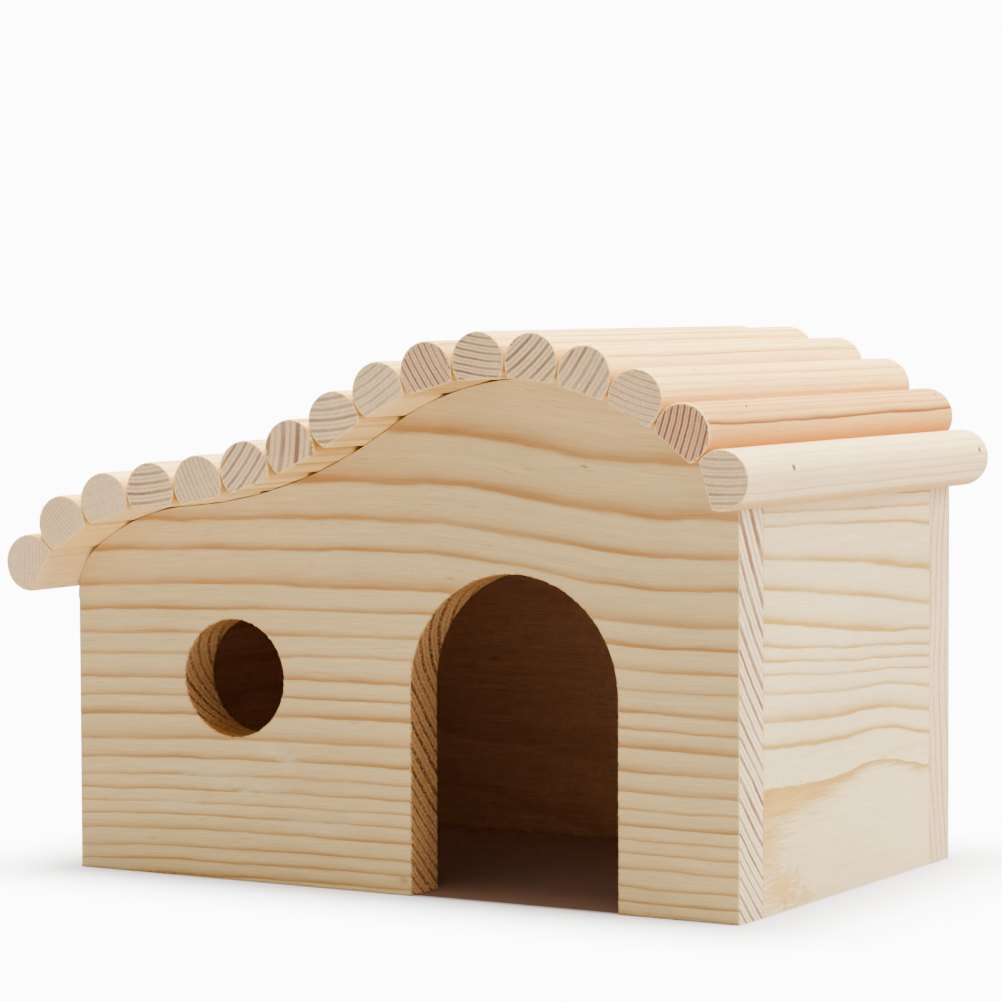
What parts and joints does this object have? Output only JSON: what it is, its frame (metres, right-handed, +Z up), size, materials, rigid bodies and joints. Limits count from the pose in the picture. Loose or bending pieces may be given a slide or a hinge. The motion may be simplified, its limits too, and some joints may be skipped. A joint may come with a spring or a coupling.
{
  "type": "small pet house",
  "caption": "Wooden hide house for a small pet, with an arched doorway, a round window and a wavy roof of half-round logs; it has no floor.",
  "frame": {"origin": "centre of the object's footprint seen from above, roof included, on the surface it stands on", "axes": "+X to the right across the front, +Y from the front to the back, +Z up"},
  "size_m": [0.1664, 0.11, 0.1095],
  "materials": {
    "panel_pine": "planed and sanded pine, unvarnished, wide growth rings",
    "wall_pine": "planed and sanded pale pine, unvarnished",
    "log_pine": "turned pine rod, unvarnished, sawn ends",
    "pin_steel": "plain steel wire",
    "dowel_wood": "plain dowel rod"
  },
  "bodies": {
    "root": {"front_panel": "panel_pine", "back_panel": "panel_pine", "left_wall": "wall_pine", "right_wall": "wall_pine", "roof_log_01": "log_pine", "roof_log_02": "log_pine", "roof_log_03": "log_pine", "roof_log_04": "log_pine", "roof_log_05": "log_pine", "roof_log_06": "log_pine", "roof_log_07": "log_pine", "roof_log_08": "log_pine", "roof_log_09": "log_pine", "roof_log_10": "log_pine", "roof_log_11": "log_pine", "roof_log_12": "log_pine", "roof_log_13": "log_pine", "roof_log_14": "log_pine", "roof_log_15": "log_pine", "roof_log_16": "log_pine", "front_roof_pins": "pin_steel", "back_roof_pins": "pin_steel", "front_dowels": "dowel_wood", "back_dowels": "dowel_wood"}
  },
  "joints": []
}
